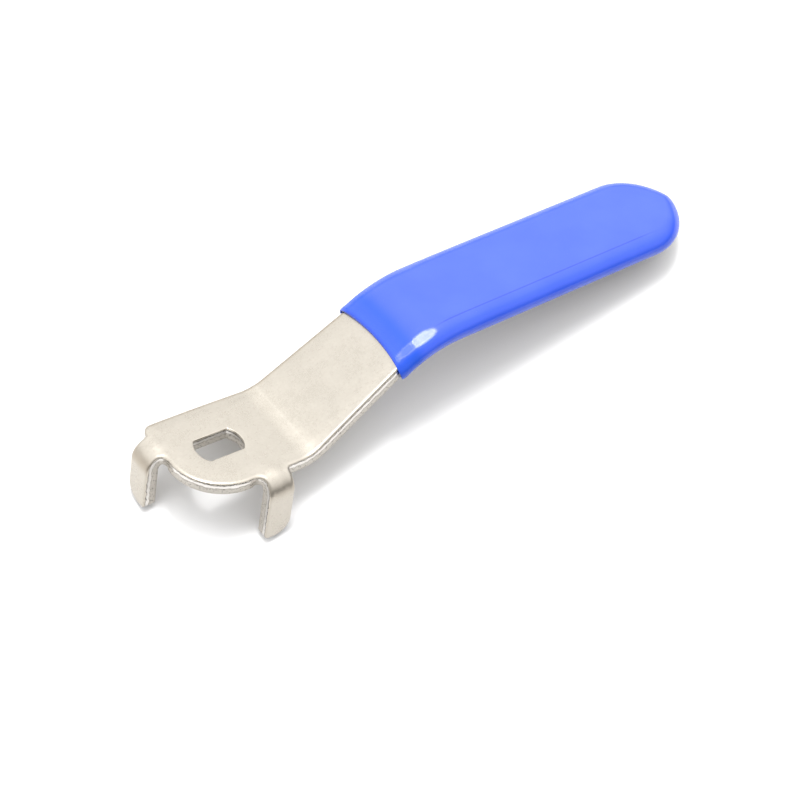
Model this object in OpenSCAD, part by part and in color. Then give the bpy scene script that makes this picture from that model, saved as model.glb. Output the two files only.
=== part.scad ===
// Lever handle of a small ball valve: a stamped and bent steel lever with a vinyl grip sleeve.
// Millimetres. The origin is the centre of the stem hole on the hub's underside, +Z runs up
// the valve's stem and +X points along the lever to the grip.

/* [Stem hole] */
// Diameter across the hole's two round ends
stem_d = 10.1; // [8:0.1:12]
// Distance between the hole's two flats
stem_flats = 6.4; // [4:0.1:7.5]

/* [Hub] */
// Thickness of the steel sheet
sheet = 3; // [2.5:0.1:3.5]
// Radius of the round nose, centred on the stem
nose_r = 11; // [10:0.1:12]
// Half width of the hub beside the stem
hub_half_w = 11.4; // [11:0.1:12.5]
// Radius of the hub's one free corner
hub_corner_r = 2.2; // [1:0.1:2.4]

/* [Stop tabs] */
// Outer face of each tab, from the stem's axis
tab_reach = 14.6; // [14:0.1:16]
// Side of each tab that faces the nose, from the stem's axis
tab_start = 3.1; // [2.5:0.1:4]
// Width of each tab
tab_w = 5.8; // [5:0.1:6.5]
// Drop of the side tab below the hub's top face
side_tab_drop = 15.4; // [12:0.1:18]
// Drop of the front tab below the hub's top face
front_tab_drop = 14; // [12:0.1:18]
// Inner radius of the bend into each tab
tab_bend_r = 1.5; // [0.8:0.1:2]
// Radius of the tab's lower corner away from the nose
tab_corner_r = 3.8; // [2:0.1:4]
// Radius of the tab's lower corner next to the nose
tab_small_r = 1; // [0.4:0.1:1.2]
// Radius of the notch between the nose and each tab
notch_r = 1.5; // [1:0.1:1.8]

/* [Arm] */
// Corner between the hub and the arm, measured along the middle of the sheet
arm_x = 15.3; // [14:0.1:18]
// Rise of the arm above the hub's plane, in degrees
arm_rise = 34.5; // [20:0.5:40]
// Length of the arm between its two corners
arm_len = 32.8; // [30:0.1:40]
// Radius of the bend between the hub and the arm, to the middle of the sheet
bend_r = 10; // [6:0.5:12]
// Radius of the bend under the sleeve, to the middle of the sheet
upper_bend_r = 22; // [8:0.5:24]
// Half width of the arm at its lower corner
arm_half_w = 11.1; // [10:0.1:11.4]
// Half width of the narrow neck, where the arm enters the sleeve
neck_half_w = 9.7; // [8.5:0.1:9.9]

/* [Grip] */
// Rise of the grip above the hub's plane, in degrees
grip_rise = 3.2; // [0:0.2:10]
// Length of the grip from the arm's upper corner to the sleeve's tip
grip_len = 69.6; // [50:0.1:90]
// Distance from the arm's lower corner to the sides of the sleeve's mouth
mouth_at = 23.9; // [16:0.1:24.5]
// How far the mouth's curved edge lies back at its middle
mouth_bow = 1.3; // [0.5:0.1:3]
// Half width of the sleeve from its mouth to the upper bend
sleeve_half_w = 11; // [10.9:0.1:12]
// Half width of the sleeve at its round tip
tip_half_w = 10.9; // [9:0.1:11]
// Thickness of the sleeve's wall above and below the steel
sleeve_wall = 1.2; // [0.8:0.05:1.4]
// Thickness of the sleeve's wall at its sides and tip
side_wall = 1.5; // [1.4:0.05:2]

/* [Hidden] */
$fn = 96;
fit_gap = 0.05;                 // between the steel and the vinyl
beyond = 30;                    // reach of a cutting solid past the part
point_w = 0.4;                  // half size of the last section at the sleeve's tip
bend_steps = 10;
tip_steps = 10;
oval_steps = 28;
mid = sheet / 2;                // height of the middle of the sheet in the hub
sleeve_r = mid + fit_gap + sleeve_wall;
upper_turn = arm_rise - grip_rise;
lower_cut = bend_r * tan(arm_rise / 2);
upper_cut = upper_bend_r * tan(upper_turn / 2);
tip_run = grip_len - tip_half_w;
mouth_r = (pow(sleeve_half_w, 2) + pow(mouth_bow, 2)) / (2 * mouth_bow);
tang_half_w = sleeve_half_w - side_wall;
tang_tip_r = tip_half_w - side_wall;
tab_out_r = tab_bend_r + sheet;
tab_flat = tab_reach - tab_out_r;
notch_centre = [-sqrt(pow(nose_r + notch_r, 2) - pow(tab_start - notch_r, 2)), tab_start - notch_r];
notch_y = notch_centre[1] * nose_r / (nose_r + notch_r);

// The path of the middle of the sheet, in the XZ plane
arm_dir = [cos(arm_rise), sin(arm_rise)];
arm_up = [-sin(arm_rise), cos(arm_rise)];
grip_dir = [cos(grip_rise), sin(grip_rise)];
grip_up = [-sin(grip_rise), cos(grip_rise)];
lower_corner = [arm_x, mid];
upper_corner = lower_corner + arm_len * arm_dir;
lower_centre = [arm_x - lower_cut, mid + bend_r];
upper_centre = upper_corner - upper_cut * arm_dir - upper_bend_r * arm_up;
upper_x = upper_corner[0];
tip_x = upper_x + tip_run * grip_dir[0];

// Points along an arc in the XZ plane, at radius r about centre, between two angles
function arc(centre, r, from, to) = [
    for (i = [0:bend_steps])
        let (a = from + (to - from) * i / bend_steps)
            centre + r * [cos(a), sin(a)]
];

// One face of the bent sheet, a distance up from its middle, from behind the hub to the grip's end
function face_line(up) = concat(
    [[-hub_half_w - beyond, mid + up]],
    arc(lower_centre, bend_r - up, -90, arm_rise - 90),
    arc(upper_centre, upper_bend_r + up, 90 + arm_rise, 90 + grip_rise),
    [upper_corner + grip_len * grip_dir + up * grip_up]
);

// The wide bent band that the lever and the sleeve's pocket are cut from
module band(thick) {
    upper_face = face_line(thick / 2);
    lower_face = face_line(-thick / 2);
    last = len(lower_face) - 1;
    rotate([90, 0, 0])
        linear_extrude(4 * hub_half_w, center = true)
            polygon(concat(upper_face, [for (i = [last:-1:0]) lower_face[i]]));
}

// Plan of the arm and of the tang inside the sleeve, larger all round by grow
module arm_plan(grow) {
    mouth_x = arm_x + mouth_at * cos(arm_rise);
    tab_end = tab_start + tab_w;
    polygon([
        [0, 0],
        [tab_end, 0],
        [tab_end, -hub_half_w - grow],
        [arm_x, -arm_half_w - grow],
        [mouth_x, -neck_half_w - grow],
        [upper_x, -tang_half_w - grow],
        [tip_x, -tang_tip_r - grow],
        [tip_x, tang_tip_r + grow],
        [upper_x, tang_half_w + grow],
        [mouth_x, neck_half_w + grow],
        [arm_x, arm_half_w + grow],
        [0, hub_half_w + grow]
    ]);
    translate([tip_x, 0])
        circle(tang_tip_r + grow);
}

// Flat plan of the hub, without its tabs
module hub_plan() {
    circle(nose_r);
    translate([-nose_r, 0])
        square([nose_r, hub_half_w - hub_corner_r]);
    translate([-nose_r + hub_corner_r, 0])
        square([nose_r - hub_corner_r, hub_half_w]);
    translate([-nose_r + hub_corner_r, hub_half_w - hub_corner_r])
        circle(hub_corner_r);
    translate([0, -nose_r])
        square([arm_x - lower_cut, nose_r]);
}

// Plan of the strip that bends down into the front tab, with its fillet to the nose
module tab_plan() {
    translate([-tab_reach, tab_start])
        square([tab_reach - tab_flat, tab_w]);
    difference() {
        polygon([
            notch_centre,
            notch_centre * nose_r / (nose_r + notch_r),
            [-tab_flat, notch_y],
            [-tab_flat, tab_start + 1],
            [notch_centre[0], tab_start + 1]
        ]);
        translate(notch_centre)
            circle(notch_r);
    }
}

// Sharp corner of an outline, to be cut away, outside a round of radius r
module corner(r) {
    difference() {
        square(r);
        translate([r, r])
            circle(r);
    }
}

// Outline of a tab below its bend, its free end down along -y
module tab_outline(drop) {
    difference() {
        translate([0, -drop])
            square([tab_w, drop]);
        translate([0, -drop])
            corner(tab_small_r);
        translate([tab_w, -drop])
            mirror([1, 0])
                corner(tab_corner_r);
    }
}

// The front tab: its bend from flat to vertical, and its flat part
module front_tab(drop) {
    intersection() {
        translate([-tab_flat, tab_start + tab_w, sheet - tab_out_r])
            rotate([90, 0, 0])
                rotate([0, 0, 90])
                    rotate_extrude(angle = 90)
                        translate([tab_bend_r, 0])
                            square([sheet, tab_start + tab_w - notch_y]);
        translate([0, 0, -beyond])
            linear_extrude(2 * beyond)
                tab_plan();
    }
    translate([-tab_reach, tab_start, sheet - tab_out_r])
        rotate([90, 0, 90])
            linear_extrude(sheet)
                tab_outline(drop - tab_out_r);
}

// The part of the hub's plan where the front tab's bend takes the place of the flat sheet
module tab_gap() {
    translate([-tab_reach, notch_y])
        square([tab_reach - tab_flat, tab_start + tab_w - notch_y]);
}

// The stem hole: a round hole with two flats along X
module stem_hole() {
    intersection() {
        translate([0, 0, -1])
            cylinder(h = sheet + 2, d = stem_d);
        translate([-stem_d, -stem_flats / 2, -1])
            cube([2 * stem_d, stem_flats, sheet + 2]);
    }
}

// Stamped steel lever with its hub, stop tabs, arm and the tang inside the sleeve
module lever_plate() {
    color("silver")
        difference() {
            union() {
                intersection() {
                    band(sheet);
                    translate([0, 0, -beyond])
                        linear_extrude(3 * beyond)
                            arm_plan(0);
                }
                linear_extrude(sheet)
                    difference() {
                        hub_plan();
                        tab_gap();
                        mirror([1, -1])
                            tab_gap();
                    }
                front_tab(front_tab_drop);
                mirror([1, -1, 0])
                    front_tab(side_tab_drop);
            }
            stem_hole();
        }
}

// Sections of the sleeve, each [point on the path, angle, half width, half thickness]
function sections() = concat(
    [[lower_corner + mouth_at * arm_dir, arm_rise, sleeve_half_w, sleeve_r]],
    [for (i = [0:bend_steps])
        let (a = arm_rise - upper_turn * i / bend_steps)
            [upper_centre + upper_bend_r * [-sin(a), cos(a)], a, sleeve_half_w, sleeve_r]],
    [for (i = [0:tip_steps])
        let (a = 90 * i / tip_steps, reach = tip_half_w * sin(a))
            [upper_corner + (tip_run + reach) * grip_dir, grip_rise,
             max(tip_half_w * cos(a), point_w), tip_thickness(reach)]]
);

// Half thickness of the sleeve at a reach past the centre of its round tip
function tip_thickness(reach) =
    let (over = max(0, reach - tip_half_w + sleeve_r))
        max(sqrt(max(0, sleeve_r * sleeve_r - over * over)), point_w);

// Points round one section, an oval with flat upper and lower sides
function oval(section) =
    let (
        across = min(section[2], section[3]),
        flat = section[2] - across,
        along = [cos(section[1]), sin(section[1])],
        up = [-along[1], along[0]]
    )
    [for (i = [0:oval_steps - 1])
        let (
            a = 360 * (i + 0.5) / oval_steps,
            y = across * cos(a) + (cos(a) > 0 ? flat : -flat),
            p = section[0] + section[3] * sin(a) * up
        )
        [p[0], y, p[1]]];

// Outside of the sleeve: the oval swept from the mouth, round the bend and to the tip
module sleeve_body() {
    rings = [for (section = sections()) oval(section)];
    n = oval_steps;
    last = len(rings) - 1;
    polyhedron(
        points = [for (ring = rings) for (point = ring) point],
        faces = concat(
            [[for (i = [0:n - 1]) i]],
            [for (k = [0:last - 1]) for (i = [0:n - 1])
                [k * n + i, k * n + n + i, k * n + (i + 1) % n]],
            [for (k = [0:last - 1]) for (i = [0:n - 1])
                [k * n + n + i, k * n + n + (i + 1) % n, k * n + (i + 1) % n]],
            [[for (i = [n - 1:-1:0]) last * n + i]]
        )
    );
}

// The round cut that curves the sleeve's mouth back at its middle
module mouth_cut() {
    centre = lower_corner + (mouth_at + mouth_bow - mouth_r) * arm_dir;
    translate([centre[0], 0, centre[1]])
        rotate([0, -arm_rise, 0])
            cylinder(h = 4 * sleeve_r, r = mouth_r, center = true);
}

// Vinyl grip sleeve, closed at its tip, pushed over the tang
module grip_sleeve() {
    color("royalblue")
        difference() {
            sleeve_body();
            mouth_cut();
            intersection() {
                band(sheet + 2 * fit_gap);
                translate([0, 0, -beyond])
                    linear_extrude(3 * beyond)
                        arm_plan(fit_gap);
            }
        }
}

lever_plate();
grip_sleeve();
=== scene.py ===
import math

import bmesh
import bpy
import numpy as np
from mathutils import Matrix, Vector, noise
from mathutils.geometry import delaunay_2d_cdt


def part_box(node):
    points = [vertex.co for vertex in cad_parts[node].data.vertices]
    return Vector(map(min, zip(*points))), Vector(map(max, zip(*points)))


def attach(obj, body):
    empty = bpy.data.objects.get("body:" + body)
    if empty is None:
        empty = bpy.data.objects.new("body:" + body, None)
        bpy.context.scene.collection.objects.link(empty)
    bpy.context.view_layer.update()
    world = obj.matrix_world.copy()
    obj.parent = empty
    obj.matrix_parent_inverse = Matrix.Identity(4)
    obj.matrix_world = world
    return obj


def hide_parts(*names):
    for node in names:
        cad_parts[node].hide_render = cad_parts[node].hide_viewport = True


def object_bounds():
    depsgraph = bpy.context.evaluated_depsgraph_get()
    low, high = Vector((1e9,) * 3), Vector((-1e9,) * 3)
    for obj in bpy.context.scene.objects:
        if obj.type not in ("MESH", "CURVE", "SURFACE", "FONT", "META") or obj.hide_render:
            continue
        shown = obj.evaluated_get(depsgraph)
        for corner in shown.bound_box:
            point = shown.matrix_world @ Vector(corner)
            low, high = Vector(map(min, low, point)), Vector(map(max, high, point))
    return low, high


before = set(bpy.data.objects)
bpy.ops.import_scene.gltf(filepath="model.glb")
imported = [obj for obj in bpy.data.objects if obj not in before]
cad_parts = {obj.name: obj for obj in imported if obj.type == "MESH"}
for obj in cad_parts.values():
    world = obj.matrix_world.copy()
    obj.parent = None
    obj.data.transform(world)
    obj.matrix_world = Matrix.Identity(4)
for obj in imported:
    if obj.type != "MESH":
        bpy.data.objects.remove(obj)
cad_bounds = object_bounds()

# Lever handle of a small ball valve. Shapes are worked out in millimetres in the row frame:
# the origin is the stem hole on the hub's underside, +Z the stem's axis, +X towards the grip.
MM = 0.001
lever_low, lever_high = (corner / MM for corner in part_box("lever_plate"))
sleeve_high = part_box("grip_sleeve")[1] / MM

# ---------------------------------------------------------------- sizes

# The steel sheet
SHEET = 3.0                                 # thickness
MID = SHEET / 2
HUB_HALF_W = lever_high.y
NOSE_R = 11.0
HUB_CORNER_R = 2.2
CREASE_R = 0.3                              # small inner corners of the outline
STEM_R = 5.05
STEM_HALF_FLATS = 3.2
STEM_CORNER_R = 0.5

# Stop tabs
TAB_REACH = -lever_low.x
TAB_START = 3.1
TAB_END = 8.9
TAB_BEND_R = 3.0                            # to the middle of the sheet
FOLD_FROM = 0.9                             # a tab's fold fades in over 1 mm from here
FOLD_FADE = 0.4                             # and out over this length past the tab's far side
TAB_FLAT = TAB_REACH - TAB_BEND_R - MID     # where the bends begin
SIDE_TAB_DROP = -lever_low.z                # below the hub's underside
TAB_STEP = 1.4                              # the front tab is this much shorter
FRONT_TAB_DROP = SIDE_TAB_DROP - TAB_STEP
TAB_CORNER_R = 3.8
TAB_SMALL_R = 1.0
NOTCH_R = 1.5

# The bent path of the sheet's middle
BEND_R = 10.0
UPPER_BEND_R = 22.0
ARM_RISE = math.radians(34.5)
GRIP_RISE = math.radians(3.2)
ARM_X = 15.3                                # lower corner, on the hub's plane
ARM_LEN = 32.8                              # between the two corners
ARM_HALF_W = 11.1
NECK_HALF_W = 9.7
TANG_HALF_W = 9.4
UPPER_TURN = ARM_RISE - GRIP_RISE
LOWER_CUT = BEND_R * math.tan(ARM_RISE / 2)  # what each bend takes off the straight stretches
UPPER_CUT = UPPER_BEND_R * math.tan(UPPER_TURN / 2)
S1 = ARM_X - LOWER_CUT                      # path lengths where each stretch begins
S2 = S1 + BEND_R * ARM_RISE
S3 = S2 + ARM_LEN - LOWER_CUT - UPPER_CUT
S4 = S3 + UPPER_BEND_R * UPPER_TURN
S_LOWER = (S1 + S2) / 2                     # middles of the two bends
S_UPPER = (S3 + S4) / 2
UPPER_X = ARM_X + ARM_LEN * math.cos(ARM_RISE)
GRIP_LEN = (sleeve_high.x - UPPER_X) / math.cos(GRIP_RISE)
S_TIP = S4 + GRIP_LEN - UPPER_CUT           # the sleeve's very end
TANG_GAP = 2.4                              # between the ends of the tang and of the sleeve
TANG_END = S_TIP - TANG_HALF_W - TANG_GAP   # where the tang's round end begins

# The vinyl sleeve
SLEEVE_R = 2.74                             # round of its sides, half its thickness
SIDE_INSET = 0.03                           # its sides stay this far inside the CAD solid
CORE_HALF_W = sleeve_high.y - SLEEVE_R - SIDE_INSET
MOUTH_AT = 25.23                            # the mouth's middle, from the arm's lower corner
MOUTH_MIDDLE = S2 - LOWER_CUT + MOUTH_AT
MOUTH_BOW = 1.28                            # the sides of the mouth reach this much nearer to the hub
MOUTH_SLANT = 0.05                          # and the +Y side lies this much further back
MOUTH_UNDERHANG = 0.75                      # the lower side reaches this much nearer to the hub
TIP_REACH = 9.2                             # length of the tapering tip, before its round
TIP_WIDTH_POWER = 1.55                      # the two powers of the tip's oval outline
TIP_LENGTH_POWER = 2.1


# ---------------------------------------------------------------- the bent path

def smooth_step(x):
    """0 below 0, 1 above 1, and a soft change between them."""
    t = np.clip(x, 0, 1)
    return t * t * (3 - 2 * t)


def path(s):
    """Place and slope of the middle of the sheet, at path lengths s from the stem's axis."""
    lower = np.clip((s - S1) / BEND_R, 0, ARM_RISE)
    upper = np.clip((s - S3) / UPPER_BEND_R, 0, UPPER_TURN)
    slope = lower - upper
    flat = np.minimum(s, S1)
    arm = np.clip(s - S2, 0, S3 - S2)
    grip = np.maximum(s - S4, 0)
    x = flat + BEND_R * np.sin(lower) + arm * math.cos(ARM_RISE)
    z = MID + BEND_R * (1 - np.cos(lower)) + arm * math.sin(ARM_RISE)
    x = x + UPPER_BEND_R * (math.sin(ARM_RISE) - np.sin(ARM_RISE - upper)) + grip * math.cos(GRIP_RISE)
    z = z + UPPER_BEND_R * (np.cos(ARM_RISE - upper) - math.cos(ARM_RISE)) + grip * math.sin(GRIP_RISE)
    return x, z, slope


def along_path(p):
    """Blank coordinates (length, across, height from the sheet's middle) to the bent shape."""
    x, z, slope = path(p[:, 0])
    return np.stack([x - p[:, 2] * np.sin(slope), p[:, 1], z + p[:, 2] * np.cos(slope)], axis=1)


def tab_bend(out, height):
    """Reach and height of a tab's point, out past the start of its bend."""
    turn = np.clip(out / TAB_BEND_R, 0, math.pi / 2)
    straight = np.maximum(out - TAB_BEND_R * math.pi / 2, 0)
    reach = TAB_FLAT + (TAB_BEND_R + height) * np.sin(turn)
    return reach, MID - TAB_BEND_R + (TAB_BEND_R + height) * np.cos(turn) - straight


def bend_sheet(p):
    """The whole blank of the lever to its bent shape: the arm and both tabs."""
    bent = along_path(p)
    for out_axis, side_axis in ((0, 1), (1, 0)):
        out = -p[:, out_axis] - TAB_FLAT
        side = p[:, side_axis]
        share = smooth_step(side - FOLD_FROM) * (1 - smooth_step((side - TAB_END) / FOLD_FADE))
        share = np.where(out > 0, share, 0)
        reach, height = tab_bend(np.maximum(out, 0), p[:, 2])
        folded = bent.copy()
        folded[:, out_axis] = -reach
        folded[:, 2] = height
        bent = bent + share[:, None] * (folded - bent)
    return bent


# ---------------------------------------------------------------- outlines

EDGE_STEP = 0.28                            # between points on straight edges
COARSE_STEP = 1.0                           # between points that the sleeve hides
HIDDEN_FROM = MOUTH_MIDDLE + 4


def arc(centre, radius, start, end, step=0.22):
    """Points on an arc between two angles in degrees, without the last one."""
    turn = math.radians(end - start)
    count = max(3, math.ceil(abs(turn) * radius / step))
    angles = math.radians(start) + turn * np.arange(count) / count
    return np.stack([centre[0] + radius * np.cos(angles), centre[1] + radius * np.sin(angles)], axis=1)


def line(start, end, step=EDGE_STEP):
    """Points on a straight stretch, without the last one."""
    start, end = np.array(start, float), np.array(end, float)
    count = max(1, math.ceil(np.linalg.norm(end - start) / step))
    return start + (end - start) * (np.arange(count) / count)[:, None]


def half_width(s):
    """Half width of the hub, arm and tang along the path."""
    stations = [0, S_LOWER, MOUTH_MIDDLE - MOUTH_BOW, S_UPPER, S_TIP]
    widths = [HUB_HALF_W, ARM_HALF_W, NECK_HALF_W, TANG_HALF_W, TANG_HALF_W]
    return np.interp(s, stations, widths)


def arm_edge(side):
    """One long edge of the arm and tang, from the hub outwards."""
    start = CREASE_R + TAB_END if side < 0 else -NOSE_R + HUB_CORNER_R
    fine = np.arange(start, HIDDEN_FROM, EDGE_STEP)
    coarse = np.arange(HIDDEN_FROM, TANG_END, COARSE_STEP)
    s = np.concatenate([fine, coarse])
    return np.stack([s, side * half_width(s)], axis=1)


def lever_outline():
    """Outline of the flat blank, anticlockwise from the hub's free corner."""
    past_bend = TAB_FLAT + TAB_BEND_R * math.pi / 2 + MID - TAB_BEND_R
    front_end = -(past_bend + FRONT_TAB_DROP)
    side_end = -(past_bend + SIDE_TAB_DROP)
    low = TAB_START - NOTCH_R
    far = math.sqrt((NOSE_R + NOTCH_R) ** 2 - low ** 2)
    meet = math.degrees(math.atan2(low, far))
    edge_y = -float(half_width(TAB_END + CREASE_R))
    return np.concatenate([
        arc((-NOSE_R + HUB_CORNER_R, HUB_HALF_W - HUB_CORNER_R), HUB_CORNER_R, 90, 180),
        arc((-NOSE_R - CREASE_R, TAB_END + CREASE_R), CREASE_R, 0, -90),
        line((-NOSE_R - CREASE_R, TAB_END), (front_end + TAB_CORNER_R, TAB_END)),
        arc((front_end + TAB_CORNER_R, TAB_END - TAB_CORNER_R), TAB_CORNER_R, 90, 180),
        line((front_end, TAB_END - TAB_CORNER_R), (front_end, TAB_START + TAB_SMALL_R)),
        arc((front_end + TAB_SMALL_R, TAB_START + TAB_SMALL_R), TAB_SMALL_R, 180, 270),
        line((front_end + TAB_SMALL_R, TAB_START), (-far, TAB_START)),
        arc((-far, low), NOTCH_R, 90, -meet),
        arc((0, 0), NOSE_R, 180 - meet, 270 + meet),
        arc((low, -far), NOTCH_R, 90 + meet, 0),
        line((TAB_START, -far), (TAB_START, side_end + TAB_SMALL_R)),
        arc((TAB_START + TAB_SMALL_R, side_end + TAB_SMALL_R), TAB_SMALL_R, 180, 270),
        line((TAB_START + TAB_SMALL_R, side_end), (TAB_END - TAB_CORNER_R, side_end)),
        arc((TAB_END - TAB_CORNER_R, side_end + TAB_CORNER_R), TAB_CORNER_R, 270, 360),
        line((TAB_END, side_end + TAB_CORNER_R), (TAB_END, edge_y - CREASE_R)),
        arc((TAB_END + CREASE_R, edge_y - CREASE_R), CREASE_R, 180, 90),
        arm_edge(-1),
        arc((TANG_END, 0), TANG_HALF_W, -90, 90, step=0.8),
        arm_edge(1)[:0:-1],
    ])


def stem_outline():
    """Outline of the stem hole, clockwise, so that the steel is on its left."""
    inner = STEM_HALF_FLATS - STEM_CORNER_R
    reach = STEM_R - STEM_CORNER_R
    across = math.sqrt(reach ** 2 - inner ** 2)
    turn = math.degrees(math.asin(inner / reach))
    quarter = np.concatenate([
        arc((0, 0), STEM_R, 0, turn),
        arc((across, inner), STEM_CORNER_R, turn, 90, step=0.12),
        line((across, STEM_HALF_FLATS), (0, STEM_HALF_FLATS)),
    ])
    left = np.append([[0, STEM_HALF_FLATS]], quarter[:0:-1], axis=0) * [-1, 1]
    upper = np.concatenate([quarter, left])
    return np.concatenate([upper, -upper])[::-1]


def inward(loop):
    """Unit normals of a closed loop, to the left of its direction."""
    tangent = np.roll(loop, -1, axis=0) - np.roll(loop, 1, axis=0)
    normal = np.stack([-tangent[:, 1], tangent[:, 0]], axis=1)
    return normal / np.linalg.norm(normal, axis=1)[:, None]


def inside(points, loop):
    """Which points lie inside a closed loop, by crossings."""
    odd = np.zeros(len(points), bool)
    x, y = points[:, 0], points[:, 1]
    for a, b in zip(loop, np.roll(loop, -1, axis=0)):
        if a[1] != b[1]:
            crosses = (a[1] > y) != (b[1] > y)
            odd ^= crosses & (x < (b[0] - a[0]) * (y - a[1]) / (b[1] - a[1]) + a[0])
    return odd


def distance(points, loop):
    """Distance from each point to the nearest point of a dense loop."""
    nearest = np.full(len(points), np.inf)
    for start in range(0, len(loop), 100):
        part = loop[start:start + 100]
        gap = np.linalg.norm(points[:, None, :] - part[None, :, :], axis=2)
        nearest = np.minimum(nearest, gap.min(axis=1))
    return nearest


# ---------------------------------------------------------------- meshes

def make_piece(name, points, faces, blank, attributes):
    """A smooth-shaded mesh object from points in millimetres, with its texture attributes."""
    mesh = bpy.data.meshes.new(name)
    mesh.from_pydata([tuple(p) for p in points * MM], [], faces)
    mesh.update()
    values = mesh.attributes.new("blank", "FLOAT_VECTOR", "POINT")
    values.data.foreach_set("vector", blank.astype(np.float32).ravel())
    for key, amounts in attributes.items():
        values = mesh.attributes.new(key, "FLOAT", "POINT")
        values.data.foreach_set("value", amounts.astype(np.float32))
    mesh.shade_smooth()
    piece = bpy.data.objects.new(name, mesh)
    bpy.context.scene.collection.objects.link(piece)
    return piece


def roughen(points, scale, seed):
    """Noise between about -1 and 1 at each point."""
    return np.array([noise.noise(Vector(p) * scale + Vector((seed, 0, 0))) for p in points])


# ---------------------------------------------------------------- the steel lever

# Down the punched edge: a rounded lip, a burnished band, the broken part and a small burr
ROLL_W = 0.85
ROLL_H = 0.42
DROOP = 0.1                                 # sink of the upper face just inside the edge
DROOP_W = 1.3
HOLE_DROOP_W = 0.5
HOLE_ROLL = 0.25                            # the hole's lip, as a share of the outline's
ROLL_STEPS = 7
BURNISH_STEPS = 3
BURNISH_INSET = 0.01
BURNISH_END = 1.35                          # depth below the upper face
BROKEN_STEPS = 10
BROKEN_INSET = 0.02
BROKEN_SLANT = 0.07
BURR = 0.12
LOWER_LIP = [(0.13, 0.04), (0.22, 0.0)]     # how far inside the outline, and above the lower face
TORN_DEPTH = 0.07
TORN_FROM = BURNISH_END - 0.25              # tearing fades in over 0.4 mm from this depth
TORN_FADE = 0.4
TAB_GRID = 0.36                             # spacing of the points inside the faces
HUB_GRID = 0.5
TANG_GRID = 1.1
GRID_GAP = 0.3                              # clear of the edge rows by this share of the spacing
WELD = 1e-6
SHARP = math.radians(38)                    # edges sharper than this are shaded as edges

# Marks for the steel's material: painted shade and a painted highlight
FOLD_AT = 3.6                               # painted shade: darker band round each tab's bend, past its start
FOLD_W = 1.05
SIDE_FOLD = 0.6                             # its strength on the side tab
CREASE_AT = S2 - 2.3                        # painted highlight: thin light line across the bend at the hub
CREASE_W = 0.3
FAR_EDGE_W = 1.0                            # painted shade: darker band along the +Y edge


def edge_rows(roll):
    """Rows down an edge: how far inside the outline, and how deep below the upper face."""
    turn = np.linspace(0, math.pi / 2, ROLL_STEPS)
    width, height = ROLL_W * roll, ROLL_H * roll
    sink = DROOP * roll
    rows = [(width * (1 - math.sin(a)), sink + height * (1 - math.cos(a))) for a in turn]
    top = sink + height
    rows += [(BURNISH_INSET, top + (BURNISH_END - top) * k / BURNISH_STEPS)
             for k in range(1, BURNISH_STEPS + 1)]
    broken = np.linspace(BURNISH_END, SHEET - BURR, BROKEN_STEPS)[1:]
    rows += [(BROKEN_INSET + BROKEN_SLANT * (d - BURNISH_END) / SHEET, d) for d in broken]
    rows += [(inset, SHEET - above) for inset, above in LOWER_LIP]
    return rows


def torn(ring, depth, normal):
    """How far each point of an edge row is torn inwards, below the burnished band."""
    broken = smooth_step((depth - TORN_FROM) / TORN_FADE)
    if broken == 0 or depth == SHEET:
        return np.zeros_like(normal)
    bumps = 0.5 + 0.5 * roughen(ring, scale=0.9, seed=3) + 0.35 * roughen(ring, scale=3.1, seed=7)
    return (TORN_DEPTH * broken * np.clip(bumps, 0, 1.4))[:, None] * normal


def edge_walls(loops):
    """The edges of the outline and the hole: points, depth and wall shares, faces, and the end rows."""
    points, kinds, faces = [], [], []
    first_rows, last_rows = [], []
    start = 0
    for loop, roll in loops:
        normal = inward(loop)
        rows = edge_rows(roll)
        count = len(loop)
        for k, (inset, depth) in enumerate(rows):
            ring = np.column_stack([loop + inset * normal, np.full(count, MID - depth)])
            ring[:, :2] += torn(ring, depth, normal)
            points.append(ring)
            wall = min(1.0, k / (ROLL_STEPS - 1))
            kinds.append(np.tile([depth / SHEET, wall], (count, 1)))
            if k:
                upper, lower = start + (k - 1) * count, start + k * count
                faces += [(upper + i, lower + i, lower + (i + 1) % count, upper + (i + 1) % count)
                          for i in range(count)]
        first_rows += range(start, start + count)
        start += len(rows) * count
        last_rows += range(start - count, start)
    return np.concatenate(points), np.concatenate(kinds), faces, first_rows, last_rows


def blank_grid(outer, hole):
    """Points inside the blank for its upper and lower faces: fine in the tabs, coarse in the tang."""
    fold_edge = -TAB_FLAT + 0.6
    grip_edge = MOUTH_MIDDLE + 3
    regions = [
        ((outer[:, 0].min(), fold_edge), (0, HUB_HALF_W), TAB_GRID),
        ((0, HUB_HALF_W), (outer[:, 1].min(), fold_edge), TAB_GRID),
        ((-NOSE_R, grip_edge), (-HUB_HALF_W, HUB_HALF_W), HUB_GRID),
        ((grip_edge, S_TIP), (-HUB_HALF_W, HUB_HALF_W), TANG_GRID),
    ]
    taken = []
    for xs, ys, step in regions:
        x, y = np.meshgrid(np.arange(xs[0], xs[1], step), np.arange(ys[0], ys[1], step))
        x = x + 0.5 * step * (np.arange(len(x)) % 2)[:, None]
        grid = np.stack([x.ravel(), y.ravel()], axis=1)
        if step == HUB_GRID:
            # The tabs' own finer points take the place of these
            in_front_tab = (grid[:, 0] < fold_edge) & (grid[:, 1] > 0)
            in_side_tab = (grid[:, 1] < fold_edge) & (grid[:, 0] > 0) & (grid[:, 0] < HUB_HALF_W)
            grid = grid[~(in_front_tab | in_side_tab)]
        gap = np.minimum(distance(grid, outer) - ROLL_W, distance(grid, hole) - HOLE_ROLL)
        keep = inside(grid, outer) & ~inside(grid, hole) & (gap > GRID_GAP * step)
        taken.append(grid[keep])
    return np.concatenate(taken)


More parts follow.
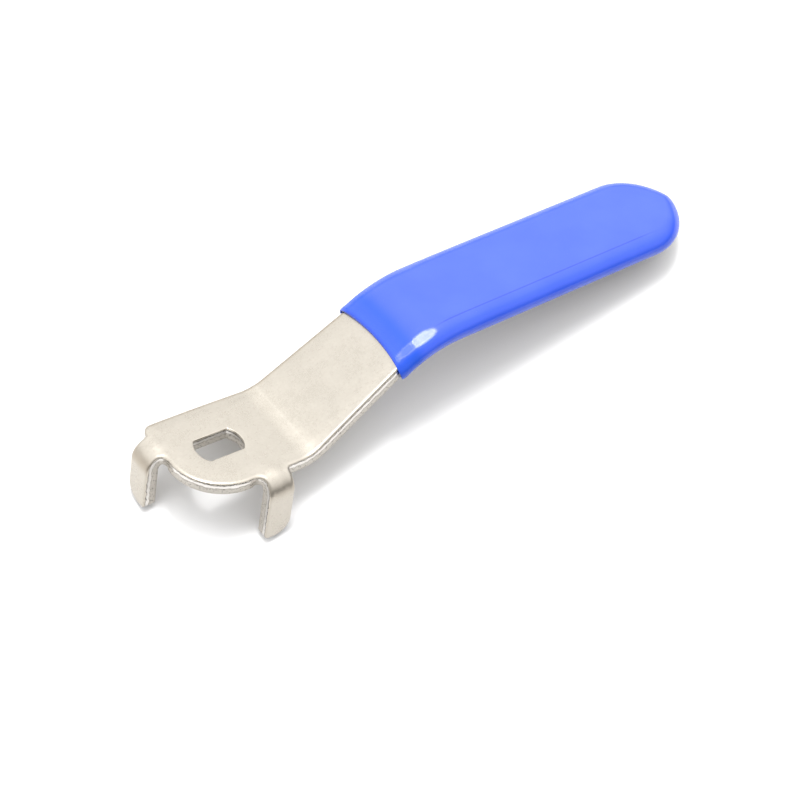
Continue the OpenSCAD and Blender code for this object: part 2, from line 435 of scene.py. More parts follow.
def triangulate(outer, hole, corners):
    """Triangles between the two loops, which come first among the corners, and the points inside."""
    edges, done = [], 0
    for loop in (outer, hole):
        count = len(loop)
        edges += [(done + i, done + (i + 1) % count) for i in range(count)]
        done += count
    _, _, triangles, origins, _, _ = delaunay_2d_cdt([Vector(p) for p in corners], edges, [], 1, WELD)
    hole_ids = range(len(outer), done)
    triangles = [[origins[i][0] for i in triangle] for triangle in triangles]
    return [ids for ids in triangles if not all(i in hole_ids for i in ids)]


def lever_marks(flat, kinds):
    """Shares for the steel's material at each point of the blank."""
    out = -np.minimum(flat[:, 0], flat[:, 1]) - TAB_FLAT
    on_front_tab = flat[:, 0] < -TAB_FLAT
    from_far_edge = half_width(flat[:, 0]) - flat[:, 1]
    return {
        "depth": kinds[:, 0],
        "wall": kinds[:, 1],
        "tab": smooth_step(out - TAB_BEND_R),
        # painted shade along the +Y edge
        "far_edge_shade": np.clip(1 - from_far_edge / FAR_EDGE_W, 0, 1),
        # painted shade round each tab's bend
        "fold_shade": np.exp(-((out - FOLD_AT) / FOLD_W) ** 2) * np.where(on_front_tab, 1, SIDE_FOLD),
        # painted highlight across the bend at the hub
        "bend": np.exp(-((flat[:, 0] - CREASE_AT) / CREASE_W) ** 2) * (flat[:, 2] > 0),
    }


def build_lever():
    """The whole steel lever as one closed mesh."""
    outer, hole = lever_outline(), stem_outline()
    walls, kinds, faces, first_rows, last_rows = edge_walls([(outer, 1.0), (hole, HOLE_ROLL)])
    grid = blank_grid(outer, hole)
    outer_sink = np.exp(-(np.maximum(distance(grid, outer) - ROLL_W, 0) / DROOP_W) ** 2)
    hole_sink = np.exp(-(np.maximum(distance(grid, hole) - HOLE_ROLL, 0) / HOLE_DROOP_W) ** 2)
    upper_grid = np.column_stack([grid, MID - DROOP * outer_sink - DROOP * HOLE_ROLL * hole_sink])
    lower_grid = np.column_stack([grid, np.full(len(grid), -MID)])
    upper_ids = first_rows + list(range(len(walls), len(walls) + len(grid)))
    lower_ids = last_rows + list(range(len(walls) + len(grid), len(walls) + 2 * len(grid)))
    for ids in triangulate(outer, hole, np.concatenate([walls[first_rows, :2], grid])):
        faces.append(tuple(upper_ids[i] for i in ids))
        faces.append(tuple(lower_ids[i] for i in reversed(ids)))
    flat = np.concatenate([walls, upper_grid, lower_grid])
    on_upper = np.tile([0.0, 0.0], (len(grid), 1))
    on_lower = np.tile([1.0, 0.0], (len(grid), 1))
    kinds = np.concatenate([kinds, on_upper, on_lower])
    piece = make_piece("lever", bend_sheet(flat), faces, flat, lever_marks(flat, kinds))
    piece.data.set_sharp_from_angle(angle=SHARP)
    return piece


# ---------------------------------------------------------------- the vinyl sleeve

# Rings of points from the mouth to the tip, outside and inside
TOP_STEPS = 26
SIDE_STEPS = 32
TIP_STEPS = 30
FINE_RING = 0.3                             # spacing of the rings as far as the upper bend
FIRST_RING = MOUTH_MIDDLE + 1.7
FINE_END = S4 + 6
ROUND_EXTRA = 0.6                           # the upper side's round is wider than it is high
BEND_EXTRA = 1.4                            # and wider still over the upper bend
BEND_REACH = 7                              # length over which that fades, either way
NARROW = 3                                  # both fade out at the tip, where the core is narrower
INNER_POWER = 0.4                           # squareness of the pocket's corners
POCKET_HALF = 1.62
POCKET_SIDE = 1.95
# The rim's section: distance back from the mouth, and share of the way from the outside to the pocket
LIP = [(1.4, 0.0), (0.9, 0.0), (0.6, 0.015), (0.33, 0.06), (0.14, 0.14), (0.03, 0.27),
       (0.0, 0.42), (0.0, 0.8), (0.05, 0.93), (0.25, 1.0)]
MOUTH_REACH = 5                             # length over which the mouth's curve fades out
BEAD = 0.14                                 # thicker rim at the mouth
BEAD_BACK = 0.7
BEAD_W = 0.45
SOFT_BEND = 0.15                            # extra vinyl in the crook under the upper bend
CROOK_REACH = 9                             # half the length of the crook
WAVE = 0.06                                 # unevenness of the upper and lower sides
FACET_TILT = math.radians(17.6)             # flat facets where the near side goes round the bend
FACETS = [(math.radians(21.5), 0.17), (math.radians(29.5), 0.1)]
FACET_EDGE = 0.05                           # depth at which a facet is fully flat
RIDGE_Y = -7.85                             # long crease along the grip's near side, with a dark line of painted shade
RIDGE_START = S_UPPER + 1
RIDGE_END = S_TIP - 9
RIDGE_FADES = (4, 8)                        # lengths of its soft start and end
CROOK_AT = S3 + 2.3                         # painted shade: deeper colour across the crook of the upper bend
CROOK_W = 1.1
CROOK_SHADE = 0.3
SHADE_END = S3 + 5.5                        # and all the way from here to the mouth
SHADE_FADE = 6
MOUTH_SHADE = 0.5                           # its strength at the mouth
MOUTH_FADE = 7
JOIN_DISTANCE = 0.002                       # points nearer than this become one
SLIVER = 0.001                              # and edges shorter than this are removed


def rim_profile(inner, wider):
    """The round side in its own plane: outwards and upwards, from the top to the bottom."""
    turn = np.linspace(math.pi / 2, -math.pi / 2, SIDE_STEPS + 1)
    out, up = np.cos(turn), np.sin(turn)
    spread = np.where(up > 0, wider, 0)
    round_side = np.stack([(SLEEVE_R + spread) * out - spread, SLEEVE_R * up], axis=1)
    boxy = np.stack([POCKET_SIDE * np.abs(out) ** INNER_POWER,
                     POCKET_HALF * np.sign(up) * np.abs(up) ** INNER_POWER], axis=1)
    return round_side + inner * (boxy - round_side)


def sleeve_ring(s, half, slant, inner):
    """One ring of blank points: centre length s, core half width, slant of the sides, pocket share."""
    bend_share = math.exp(-((s - S_UPPER) / BEND_REACH) ** 2)
    wider = (ROUND_EXTRA + BEND_EXTRA * bend_share) * min(1, half / NARROW)
    rim = rim_profile(inner, wider)
    right = np.column_stack([
        s + rim[:, 0] * math.sin(slant),
        half + rim[:, 0] * math.cos(slant),
        rim[:, 1],
    ])
    left = (right * [1, -1, 1])[::-1]
    share = (np.arange(1, TOP_STEPS) / TOP_STEPS)[:, None]
    upper = left[-1] + share * (right[0] - left[-1])
    lower = right[-1] + share * (left[0] - right[-1])
    return np.concatenate([upper, right, lower, left])


def tip_rings(count):
    """Core stations of the tapering tip: length past its start, half width and slant."""
    rings = []
    for k in range(1, count + 1):
        share = math.cos(math.pi / 2 * k / count)
        width = CORE_HALF_W * share
        reach = TIP_REACH * (1 - share ** TIP_WIDTH_POWER) ** (1 / TIP_LENGTH_POWER)
        rings.append((reach, width))
    slants = []
    points = [(0, CORE_HALF_W)] + rings
    for k in range(1, count + 1):
        before, here = points[k - 1], points[k]
        after = points[k + 1] if k < count else (here[0], -before[1])
        slants.append(math.atan2(before[1] - after[1], after[0] - before[0]))
    slants[-1] = math.pi / 2
    return [(reach, width, slant) for (reach, width), slant in zip(rings, slants)]


def sleeve_rings():
    """All rings from the tip over the outside to the mouth, and back through the pocket."""
    tip_start = S_TIP - SLEEVE_R - TIP_REACH
    fine = np.arange(FIRST_RING, FINE_END, FINE_RING)
    coarse = np.arange(FINE_END + COARSE_STEP / 2, tip_start, COARSE_STEP)
    stations = np.concatenate([fine, coarse])
    tips = tip_rings(TIP_STEPS)
    outside = [sleeve_ring(s, CORE_HALF_W, 0, 0) for s in stations]
    outside += [sleeve_ring(tip_start + reach, width, slant, 0) for reach, width, slant in tips]
    pocket = [sleeve_ring(s, CORE_HALF_W, 0, 1) for s in stations[::2]]
    pocket += [sleeve_ring(tip_start + reach, width, slant, 1) for reach, width, slant in tips]
    lip = [sleeve_ring(MOUTH_MIDDLE + back, CORE_HALF_W, 0, inner) for back, inner in LIP]
    shares = [0.0] * len(outside) + [inner for _, inner in LIP] + [1.0] * len(pocket)
    return outside[::-1] + lip + pocket, shares


def mouth_shift(p):
    """The curved and slanted mouth: how far the points near it move along the sleeve."""
    across = p[:, 1] / (CORE_HALF_W + SLEEVE_R)
    curve = MOUTH_SLANT * across - MOUTH_BOW * across ** 2
    curve -= MOUTH_UNDERHANG * np.clip(0.5 - p[:, 2] / (2 * SLEEVE_R), 0, 1)
    return curve * np.exp(-np.maximum(p[:, 0] - MOUTH_MIDDLE, 0) / MOUTH_REACH)


def shape_sleeve(blank, inner):
    """The even blank with its curved mouth, bead, filled crook and slightly wavy sides."""
    outer = 1 - inner
    shaped = blank.copy()
    shaped[:, 0] += mouth_shift(blank)
    bead = BEAD * np.exp(-((blank[:, 0] - MOUTH_MIDDLE - BEAD_BACK) / BEAD_W) ** 2) * outer
    shaped[:, 2] += bead * np.clip(blank[:, 2] / 2, -1, 1)
    crook = np.cos(np.clip((blank[:, 0] - S_UPPER) / CROOK_REACH, -1, 1) * math.pi / 2) ** 2
    shaped[:, 2] -= SOFT_BEND * crook * np.clip(-blank[:, 2] / SLEEVE_R, 0, 1) * outer
    wave = 0.5 + 0.5 * roughen(blank * [0.5, 1, 1], scale=0.16, seed=11)
    shaped[:, 2] -= WAVE * wave * np.sign(blank[:, 2]) * outer
    return shaped


def press_facets(bent, inner):
    """Flattens the round side onto the facets, and says how much each point lies on one."""
    on_facet = np.zeros(len(bent))
    for slope, depth in FACETS:
        level = math.cos(FACET_TILT)
        normal = np.array([-math.sin(slope) * level, -math.sin(FACET_TILT), math.cos(slope) * level])
        reach = bent @ normal
        over = np.maximum(reach - reach.max() + depth, 0) * (1 - inner)
        bent = bent - over[:, None] * normal
        on_facet = np.maximum(on_facet, np.clip(over / FACET_EDGE, 0, 1))
    return bent, on_facet


def sleeve_marks(blank, inner, on_facet):
    """Shares for the vinyl's material at each point of the blank."""
    s = blank[:, 0]
    fade_in, fade_out = RIDGE_FADES
    on_grip = smooth_step((s - RIDGE_START) / fade_in) * smooth_step((RIDGE_END - s) / fade_out)
    before_crook = smooth_step((SHADE_END - s) / SHADE_FADE)
    from_mouth = smooth_step((s - MOUTH_MIDDLE) / MOUTH_FADE)
    crook_line = np.exp(-((s - CROOK_AT) / CROOK_W) ** 2)
    # painted shade: from the mouth to the upper bend, a line across its crook, and full on the facets
    shade = (MOUTH_SHADE + (1 - MOUTH_SHADE) * from_mouth) * before_crook + CROOK_SHADE * crook_line
    return {
        "pocket": inner,
        # the crease: its small step of relief, and its dark line of painted shade
        "ridge": on_grip * (blank[:, 2] > 0),
        "shade": np.maximum(shade * (1 - on_facet), on_facet),
    }


def build_sleeve():
    """The vinyl sleeve as one closed mesh, with its wall, lip and pocket."""
    rings, shares = sleeve_rings()
    count = len(rings[0])
    blank = np.concatenate(rings)
    inner = np.repeat(shares, count)
    faces = []
    for k in range(len(rings) - 1):
        here, after = k * count, (k + 1) * count
        faces += [(here + i, here + (i + 1) % count, after + (i + 1) % count, after + i)
                  for i in range(count)]
    shaped = shape_sleeve(blank, inner)
    bent, on_facet = press_facets(along_path(shaped), inner)
    piece = make_piece("sleeve", bent, faces, shaped, sleeve_marks(blank, inner, on_facet))
    close_seams(piece)
    return piece


def close_seams(piece):
    """Joins the points that meet at the tip, and turns every face outwards."""
    work = bmesh.new()
    work.from_mesh(piece.data)
    bmesh.ops.remove_doubles(work, verts=work.verts, dist=JOIN_DISTANCE * MM)
    bmesh.ops.dissolve_degenerate(work, edges=work.edges, dist=SLIVER * MM)
    bmesh.ops.recalc_face_normals(work, faces=work.faces)
    work.to_mesh(piece.data)
    work.free()
    piece.data.shade_smooth()


# ---------------------------------------------------------------- materials

RANGE_KEYS = ("From Min", "From Max", "To Min", "To Max")


class Graph:
    """A short way to write a node material. Values are sockets or plain constants."""

    def __init__(self, name):
        self.material = bpy.data.materials.new(name)
        self.material.use_nodes = True
        self.tree = self.material.node_tree
        self.tree.nodes.clear()
        output = self.tree.nodes.new("ShaderNodeOutputMaterial")
        self.shader = self.tree.nodes.new("ShaderNodeBsdfPrincipled")
        self.tree.links.new(self.shader.outputs[0], output.inputs[0])

    def put(self, target, value):
        """Links a socket to another, or sets its constant."""
        if isinstance(value, bpy.types.NodeSocket):
            self.tree.links.new(value, target)
        else:
            target.default_value = value

    def attribute(self, name, output):
        """One of the mesh's attributes, as Vector or Fac."""
        node = self.tree.nodes.new("ShaderNodeAttribute")
        node.attribute_name = name
        return node.outputs[output]

    def component(self, vector, index):
        """One coordinate of a vector."""
        node = self.tree.nodes.new("ShaderNodeSeparateXYZ")
        self.put(node.inputs[0], vector)
        return node.outputs[index]

    def stretched(self, vector, size, turn):
        """The vector turned about Z and stretched, so that marks of scale 1 take this size."""
        node = self.tree.nodes.new("ShaderNodeMapping")
        node.vector_type = "TEXTURE"
        self.put(node.inputs["Vector"], vector)
        node.inputs["Scale"].default_value = size
        node.inputs["Rotation"].default_value = (0, 0, turn)
        return node.outputs[0]

    def noise(self, vector, scale, detail=2.0, roughness=0.5):
        """Soft noise, with its scale per millimetre."""
        node = self.tree.nodes.new("ShaderNodeTexNoise")
        self.put(node.inputs["Vector"], vector)
        node.inputs["Scale"].default_value = scale
        node.inputs["Detail"].default_value = detail
        node.inputs["Roughness"].default_value = roughness
        return node.outputs[0]

    def cells(self, vector, scale):
        """Distance to scattered points, with their scale per millimetre."""
        node = self.tree.nodes.new("ShaderNodeTexVoronoi")
        self.put(node.inputs["Vector"], vector)
        node.inputs["Scale"].default_value = scale
        return node.outputs["Distance"]

    def ramp(self, value, stops):
        """Colours along a value."""
        node = self.tree.nodes.new("ShaderNodeValToRGB")
        self.put(node.inputs[0], value)
        band = node.color_ramp
        for index, (place, colour) in enumerate(stops):
            stop = band.elements[index] if index < 2 else band.elements.new(place)
            stop.position = place
            stop.color = (*colour, 1)
        return node.outputs[0]

    def reach(self, value, low, high, to_low=0.0, to_high=1.0):
        """The value's way from low to high, on another range and held at its ends."""
        node = self.tree.nodes.new("ShaderNodeMapRange")
        self.put(node.inputs["Value"], value)
        for key, amount in zip(RANGE_KEYS, (low, high, to_low, to_high)):
            node.inputs[key].default_value = amount
        return node.outputs[0]

    def math(self, kind, a, b=0.0):
        """A sum, product or other operation of one or two values."""
        node = self.tree.nodes.new("ShaderNodeMath")
        node.operation = kind
        self.put(node.inputs[0], a)
        self.put(node.inputs[1], b)
        return node.outputs[0]

    def mix(self, share, a, b):
        """A colour between two others."""
        node = self.tree.nodes.new("ShaderNodeMix")
        node.data_type = "RGBA"
        self.put(node.inputs["Factor"], share)
        first, second = [socket for socket in node.inputs if socket.type == "RGBA"]
        self.put(first, a)
        self.put(second, b)
        return [socket for socket in node.outputs if socket.type == "RGBA"][0]

    def layers(self, colour, tones):
        """A colour with tones over it, each with its share and strength."""
        for share, strength, tone in tones:
            colour = self.mix(self.math("MULTIPLY", share, strength), colour, tone)
        return colour

    def bump(self, height, distance, below=None):
        """Surface relief, on top of other relief."""
        node = self.tree.nodes.new("ShaderNodeBump")
        node.inputs["Strength"].default_value = 1.0
        node.inputs["Distance"].default_value = distance
        self.put(node.inputs["Height"], height)
        if below is not None:
            self.put(node.inputs["Normal"], below)
        return node.outputs[0]


# Tones of the steel, painted shade and a painted highlight among them. Those of the cut go by depth:
# lip, a dark line of painted shade, burnished band and break
STEEL_DULL = (0.5, 0.462, 0.4, 1)
STEEL_CLEAR = (0.57, 0.53, 0.466, 1)
STEEL_ARM_SHADE = (0.4, 0.375, 0.335, 1)
STEEL_CREASE_HIGHLIGHT = (0.66, 0.62, 0.55, 1)
STEEL_SCRATCH = (0.36, 0.32, 0.27, 1)
STEEL_PIT = (0.2, 0.17, 0.13, 1)
STEEL_FOLD_SHADE = (0.36, 0.3, 0.225, 1)
STEEL_LIP_SHADE = (0.4, 0.33, 0.25, 1)
STEEL_FAR_EDGE_SHADE = (0.38, 0.31, 0.23, 1)
STEEL_HOLE = (0.1, 0.085, 0.07, 1)
CUT_TONES_AND_SHADE = [
    (0.0, (0.55, 0.5, 0.43)), (0.185, (0.56, 0.52, 0.45)),
    # painted shade: the dark line where the lip turns down
    (0.2, (0.04, 0.035, 0.035)), (0.225, (0.04, 0.035, 0.035)),
    (0.25, (0.69, 0.66, 0.62)), (0.46, (0.74, 0.71, 0.67)),
    (0.5, (0.25, 0.22, 0.18)), (0.545, (0.6, 0.565, 0.51)),
    (0.8, (0.62, 0.585, 0.53)), (0.97, (0.5, 0.46, 0.41)),
]
ARM_TONE_START = 16                         # painted shade: the arm is a little darker than the hub
ARM_TONE_END = 24
GRAIN_BUMP = 0.003 * MM
MARK_BUMP = 0.006 * MM
TORN_BUMP = 0.12 * MM


def steel_face(g, blank, uneven, scratches, pits):
    """Colour of the sheet's faces, and of the lip that rolls over their edges, with painted shade on
    the arm, round the tabs' bends, on the lip and along the far edge, and a painted highlight across
    the bend at the hub.
    """
    face = g.mix(g.reach(uneven, 0.6, 1.4), STEEL_DULL, STEEL_CLEAR)
    return g.layers(face, [
        # painted shade on the arm
        (g.reach(g.component(blank, 0), ARM_TONE_START, ARM_TONE_END), 0.25, STEEL_ARM_SHADE),
        # painted highlight across the bend at the hub
        (g.attribute("bend", "Fac"), 0.3, STEEL_CREASE_HIGHLIGHT),
        (scratches, 0.1, STEEL_SCRATCH),
        (pits, 0.6, STEEL_PIT),
        # painted shade round each tab's bend
        (g.attribute("fold_shade", "Fac"), 0.55, STEEL_FOLD_SHADE),
        # painted shade on the rolled lip of every edge
        (g.reach(g.attribute("wall", "Fac"), 0.3, 0.8), 0.2, STEEL_LIP_SHADE),
        # painted shade along the +Y edge
        (g.attribute("far_edge_shade", "Fac"), 0.75, STEEL_FAR_EDGE_SHADE),
    ])


def steel_material():
    """Satin stainless sheet: fine grain, faint scratches, pitted tabs, and a cut edge in bands, with
    painted shade and a painted highlight.
    """
    g = Graph("satin_steel")
    blank = g.attribute("blank", "Vector")
    tab = g.attribute("tab", "Fac")
    grain = g.noise(blank, scale=2.3, detail=2)
    uneven = g.math("ADD", g.noise(blank, scale=0.3, detail=3), grain)
    specks = g.reach(g.cells(blank, scale=2.6), 0.05, 0.12, 1, 0)
    patches = g.math("ADD", g.noise(blank, scale=0.9, detail=1), g.math("MULTIPLY", tab, 0.08))
    pits = g.math("MULTIPLY", g.math("MULTIPLY", specks, g.reach(patches, 0.56, 0.62)), tab)
    long_lines = g.noise(g.stretched(blank, (8, 0.35, 1), 0.35), scale=1, detail=0)
    cross_lines = g.noise(g.stretched(blank, (7, 0.4, 1), -0.9), scale=1, detail=0)
    scratches = g.math("MAXIMUM", g.reach(long_lines, 0.75, 0.86), g.reach(cross_lines, 0.76, 0.86))

    wander = g.reach(g.noise(blank, scale=1.1, detail=3), 0.3, 0.7, -0.06, 0.06)
    ragged = g.math("ADD", g.attribute("depth", "Fac"), wander)
    in_break = g.reach(ragged, 0.46, 0.56)
    holes = g.reach(g.noise(blank, scale=2.6, detail=2, roughness=0.7), 0.58, 0.66)
    holes = g.math("MULTIPLY", holes, in_break)
    cut = g.layers(g.ramp(ragged, CUT_TONES_AND_SHADE), [(holes, 0.75, STEEL_HOLE)])
    on_wall = g.reach(g.attribute("wall", "Fac"), 0.75, 1.0)
    face = steel_face(g, blank, uneven, scratches, pits)
    g.put(g.shader.inputs["Base Color"], g.mix(on_wall, face, cut))
    g.shader.inputs["Metallic"].default_value = 1.0

    satin = g.reach(uneven, 0.8, 1.2, 0.26, 0.34)
    satin = g.math("ADD", satin, g.math("MULTIPLY", g.attribute("fold_shade", "Fac"), 0.1))
    roughness = g.mix(on_wall, satin, g.reach(ragged, 0.45, 0.6, 0.22, 0.5))
    roughness = g.math("ADD", roughness, g.math("MULTIPLY", scratches, 0.06))
    g.put(g.shader.inputs["Roughness"], roughness)

    marks = g.math("ADD", g.math("MULTIPLY", scratches, 0.4), pits)
    relief = g.bump(grain, GRAIN_BUMP)
    relief = g.bump(g.math("SUBTRACT", 0.0, marks), MARK_BUMP, relief)
    rough_break = g.math("MULTIPLY", g.noise(blank, scale=3.4, detail=4, roughness=0.7), in_break)
    relief = g.bump(g.math("MULTIPLY", rough_break, on_wall), TORN_BUMP, relief)
    g.put(g.shader.inputs["Normal"], relief)
    return g.material


VINYL_DEEP = (0.045, 0.1, 0.7, 1)
VINYL_CLEAR = (0.052, 0.11, 0.73, 1)
# painted shade near the mouth, across the crook, on the facets and on the sides
VINYL_PAINTED_SHADE = (0.014, 0.085, 0.58, 1)
VINYL_RIDGE_SHADE = (0.02, 0.05, 0.4, 1)
VINYL_DUST = (0.25, 0.38, 0.95, 1)
# painted shade inside the pocket
VINYL_POCKET_SHADE = (0.01, 0.03, 0.3, 1)
VINYL_BOUNCE = (0.2, 0.18, 0.16, 1)         # what it throws on the floor stays neutral
# width of the crease's dark line of painted shade
RIDGE_W = 0.24
RIDGE_STEP = 0.35                           # width of the low step beside the crease
STEP_BUMP = 0.04 * MM
RIPPLE_BUMP = 0.02 * MM
DENT_BUMP = 0.006 * MM
PEEL_BUMP = 0.001 * MM
DUST_BUMP = 0.01 * MM


def painted_side_shade(g, blank, shade):
    """Painted shade: deeper colour on the upper half of the round sides, stronger near the mouth."""
    side = g.math("ABSOLUTE", g.component(blank, 1))
    side = g.reach(side, CORE_HALF_W + 0.3, CORE_HALF_W + 1.6, 0, 0.45)
    side = g.math("MULTIPLY", side, g.reach(g.component(blank, 2), -2.0, -0.6))
    return g.math("MULTIPLY", side, g.reach(shade, 0.1, 0.7, 1, 2.6))


def vinyl_material():
    """Dipped vinyl: smooth and glossy, a little uneven, with a crease and faint dust, and painted shade
    near the mouth, across the crook, on the facets, on the sides, along the crease and in the pocket.
    """
    g = Graph("blue_vinyl")
    blank = g.attribute("blank", "Vector")
    ridge = g.attribute("ridge", "Fac")
    shade = g.attribute("shade", "Fac")
    shade = g.math("MAXIMUM", shade, painted_side_shade(g, blank, shade))
    beside = g.math("ADD", g.component(blank, 1), -RIDGE_Y)
    thin = g.reach(g.math("ABSOLUTE", beside), 0.0, RIDGE_W, 1, 0)
    dust = g.reach(g.cells(blank, scale=1.3), 0.03, 0.055, 1, 0)
    dust = g.math("MULTIPLY", dust, g.reach(g.noise(blank, scale=0.35, detail=1), 0.5, 0.6))
    cloud = g.reach(g.noise(blank, scale=0.12, detail=2), 0.35, 0.65)
    bounce = g.tree.nodes.new("ShaderNodeLightPath").outputs["Is Diffuse Ray"]
    colour = g.layers(g.mix(cloud, VINYL_DEEP, VINYL_CLEAR), [
        # painted shade near the mouth, across the crook, on the facets and on the sides
        (shade, 0.7, VINYL_PAINTED_SHADE),
        # dark line of painted shade along the crease
        (g.math("MULTIPLY", ridge, thin), 0.8, VINYL_RIDGE_SHADE),
        (dust, 0.4, VINYL_DUST),
        # painted shade inside the pocket
        (g.attribute("pocket", "Fac"), 0.35, VINYL_POCKET_SHADE),
        (bounce, 1.0, VINYL_BOUNCE),
    ])
    g.put(g.shader.inputs["Base Color"], colour)
    g.put(g.shader.inputs["Specular IOR Level"], g.reach(shade, 0, 1, 0.5, 0.22))
    haze = g.noise(blank, scale=1.6, detail=3)
    g.put(g.shader.inputs["Roughness"], g.reach(haze, 0.3, 0.7, 0.14, 0.18))
    g.shader.inputs["IOR"].default_value = 1.53

    step = g.math("MULTIPLY", g.reach(beside, -RIDGE_STEP, 0.0), ridge)
    dents = g.reach(g.noise(blank, scale=0.7, detail=1), 0.6, 0.75)
    relief = g.bump(step, STEP_BUMP)
    relief = g.bump(g.noise(blank, scale=0.45, detail=1), RIPPLE_BUMP, relief)
    relief = g.bump(dents, DENT_BUMP, relief)
    relief = g.bump(g.noise(blank, scale=2.6, detail=2), PEEL_BUMP, relief)
    g.put(g.shader.inputs["Normal"], g.bump(dust, DUST_BUMP, relief))
    return g.material


# ---------------------------------------------------------------- the two pieces

lever = build_lever()
lever.data.materials.append(steel_material())
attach(lever, "root")
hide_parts("lever_plate")

sleeve = build_sleeve()
sleeve.data.materials.append(vinyl_material())
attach(sleeve, "root")
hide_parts("grip_sleeve")


# ---------------------------------------------------------------- floor

FLOOR_R = 3.0
FLOOR_SIDES = 96
FLOOR_GAP = 0.02 * MM
FLOOR_TONE = (0.82, 0.82, 0.825, 1)
FLOOR_ROUGHNESS = 0.45
SETTLE_STEPS = 12                           # enough for the three contact points to stay the same


def resting_plane():
    """The plane that the lever lies on: under both tabs' ends and under the sleeve's tip."""
    points = np.array([v.co for piece in (lever, sleeve) for v in piece.data.vertices])
    front_tab = points[points[:, 0] < -TAB_FLAT * MM]
    side_tab = points[points[:, 1] < -HUB_HALF_W * MM]
    tip = points[points[:, 0] > (sleeve_high.x - TIP_REACH) * MM]
    normal = np.array([0.0, 0.0, 1.0])
    for _ in range(SETTLE_STEPS):
        a, b, c = (group[np.argmin(group @ normal)] for group in (front_tab, side_tab, tip))
        normal = np.cross(b - a, c - a)
        normal /= np.linalg.norm(normal) * np.sign(normal[2])
    return Vector(a), Vector(normal)


def floor_material():
    """A pale satin floor, clear from below so that the underside stays in view."""
    material = bpy.data.materials.new("pale_floor")
    material.use_nodes = True
    tree = material.node_tree
    tree.nodes.clear()
    output = tree.nodes.new("ShaderNodeOutputMaterial")
    paint = tree.nodes.new("ShaderNodeBsdfPrincipled")
    paint.inputs["Base Color"].default_value = FLOOR_TONE
    paint.inputs["Roughness"].default_value = FLOOR_ROUGHNESS
    clear = tree.nodes.new("ShaderNodeBsdfTransparent")
    side = tree.nodes.new("ShaderNodeNewGeometry")
    mixer = tree.nodes.new("ShaderNodeMixShader")
    tree.links.new(side.outputs["Backfacing"], mixer.inputs[0])
    tree.links.new(paint.outputs[0], mixer.inputs[1])
    tree.links.new(clear.outputs[0], mixer.inputs[2])
    tree.links.new(mixer.outputs[0], output.inputs[0])
    return material


def build_floor():
    """A wide pale disc under the lever."""
    turn = floor_normal.to_track_quat("Z", "Y").to_matrix()
    middle = floor_point - floor_normal * FLOOR_GAP
    angles = [2 * math.pi * k / FLOOR_SIDES for k in range(FLOOR_SIDES)]
    rim = [middle + turn @ Vector((FLOOR_R * math.cos(a), FLOOR_R * math.sin(a), 0)) for a in angles]
    mesh = bpy.data.meshes.new("floor")
    mesh.from_pydata(rim, [], [range(FLOOR_SIDES)])
    mesh.materials.append(floor_material())
    floor = bpy.data.objects.new("floor", mesh)
    bpy.context.scene.collection.objects.link(floor)
    return floor


floor_point, floor_normal = resting_plane()
build_floor()


# ---------------------------------------------------------------- light

def direction(azimuth, elevation):
    """Unit vector of a view: azimuth 0 looks along +Y, and elevation is how far it looks down."""
    a, e = math.radians(azimuth), math.radians(elevation)
    return Vector((math.sin(a) * math.cos(e), math.cos(a) * math.cos(e), -math.sin(e)))


stem = Vector((0, 0, 0))
centre = (Vector(cad_bounds[0]) + Vector(cad_bounds[1])) / 2
KEY_WAY = direction(79, 85)
# Square soft lights: name, way they shine, distance from their target, width, watts and target
LIGHTS = [
    ("key", KEY_WAY, 1.0, 0.1, 1.7, stem),
    ("wide_key", KEY_WAY, 1.0, 0.32, 2.2, stem),
    ("second", direction(88, 66), 1.0, 0.28, 1.7, centre),
    ("overhead", direction(60, 84), 1.1, 1.3, 1.5, centre),
]
# Ways that the tent's light changes along
CAMERA_SIDE = Vector((-0.5, -0.8, 0.3)).normalized()
FRONT = Vector((0.2, -1, 0)).normalized()


def add_softbox(name, way, gap, width, watts, target):
    """A square soft light that shines along a way, at a distance from its target."""
    lamp = bpy.data.lights.new(name, "AREA")
    lamp.shape = "SQUARE"
    lamp.size = width
    lamp.energy = watts
    softbox = bpy.data.objects.new(name, lamp)
    softbox.location = target - way * gap
    softbox.rotation_euler = way.to_track_quat("-Z", "Y").to_euler()
    bpy.context.scene.collection.objects.link(softbox)


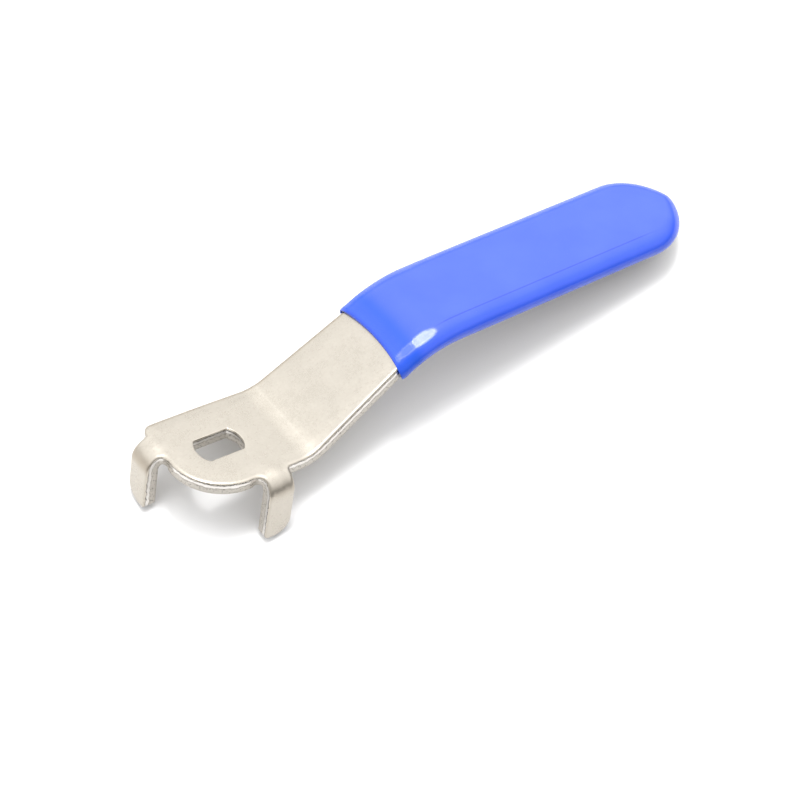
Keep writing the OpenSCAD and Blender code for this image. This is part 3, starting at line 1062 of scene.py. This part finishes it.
def build_world():
    """An even light tent, dimmed on the camera's side and near the horizon, and white to the camera."""
    world = bpy.data.worlds.new("studio")
    bpy.context.scene.world = world
    world.use_nodes = True
    tree = world.node_tree
    tree.nodes.clear()
    ways = tree.nodes.new("ShaderNodeTexCoord")

    def along(way, low, high, to_low, to_high):
        """Light that changes between two strengths as the direction nears the given way."""
        dot = tree.nodes.new("ShaderNodeVectorMath")
        dot.operation = "DOT_PRODUCT"
        dot.inputs[1].default_value = way
        tree.links.new(ways.outputs["Generated"], dot.inputs[0])
        band = tree.nodes.new("ShaderNodeMapRange")
        band.interpolation_type = "SMOOTHSTEP"
        tree.links.new(dot.outputs["Value"], band.inputs["Value"])
        for key, amount in zip(RANGE_KEYS, (low, high, to_low, to_high)):
            band.inputs[key].default_value = amount
        return band.outputs[0]

    def combine(kind, a, b):
        """Two strengths multiplied or subtracted."""
        node = tree.nodes.new("ShaderNodeMath")
        node.operation = kind
        tree.links.new(a, node.inputs[0])
        tree.links.new(b, node.inputs[1])
        return node.outputs[0]

    from_camera = along(CAMERA_SIDE, 0.55, 0.95, 1.6, 0.8)
    above_horizon = along(floor_normal, -0.05, 0.28, 0.15, 1.0)
    in_front = along(FRONT, -0.5, 0.2, 0.0, 1.0)
    low_front = combine("MULTIPLY", in_front, along(floor_normal, 0.0, 0.7, 1.0, 0.0))
    even = combine("MULTIPLY", from_camera, above_horizon)
    strength = combine("SUBTRACT", even, combine("MULTIPLY", even, low_front))

    tent = tree.nodes.new("ShaderNodeBackground")
    tree.links.new(strength, tent.inputs["Strength"])
    tent.inputs["Color"].default_value = (1, 1, 1, 1)
    shown = tree.nodes.new("ShaderNodeBackground")
    shown.inputs["Color"].default_value = (1, 1, 1, 1)
    rays = tree.nodes.new("ShaderNodeLightPath")
    mixer = tree.nodes.new("ShaderNodeMixShader")
    output = tree.nodes.new("ShaderNodeOutputWorld")
    tree.links.new(rays.outputs["Is Camera Ray"], mixer.inputs[0])
    tree.links.new(tent.outputs[0], mixer.inputs[1])
    tree.links.new(shown.outputs[0], mixer.inputs[2])
    tree.links.new(mixer.outputs[0], output.inputs["Surface"])


for light in LIGHTS:
    add_softbox(*light)
build_world()


# ---------------------------------------------------------------- camera

# The camera looks past the hub along the lever, from above and from the nose's side
VIEW_AZIMUTH = 42.72
VIEW_ELEVATION = 41.89
VIEW_ROLL = 10.25
VIEW_DISTANCE = 0.5087
VIEW_CENTRE = Vector((31.19, -15.33, 14.04)) * MM
LENS = 117                                  # millimetres
SENSOR = 36                                 # millimetres
NEAR_CLIP = 0.01


def build_camera():
    """The scene's camera, turned about its own line of sight."""
    look = direction(VIEW_AZIMUTH, VIEW_ELEVATION)
    level = look.cross(Vector((0, 0, 1))).normalized()
    right = Matrix.Rotation(math.radians(-VIEW_ROLL), 3, look) @ level
    up = right.cross(look)
    optics = bpy.data.cameras.new("camera")
    optics.lens = LENS
    optics.sensor_width = SENSOR
    optics.clip_start = NEAR_CLIP
    camera = bpy.data.objects.new("camera", optics)
    place = Matrix((right, up, -look)).transposed().to_4x4()
    place.translation = VIEW_CENTRE - look * VIEW_DISTANCE
    camera.matrix_world = place
    bpy.context.scene.collection.objects.link(camera)
    return camera


bpy.context.scene.camera = build_camera()
bpy.context.scene.view_settings.view_transform = "Standard"
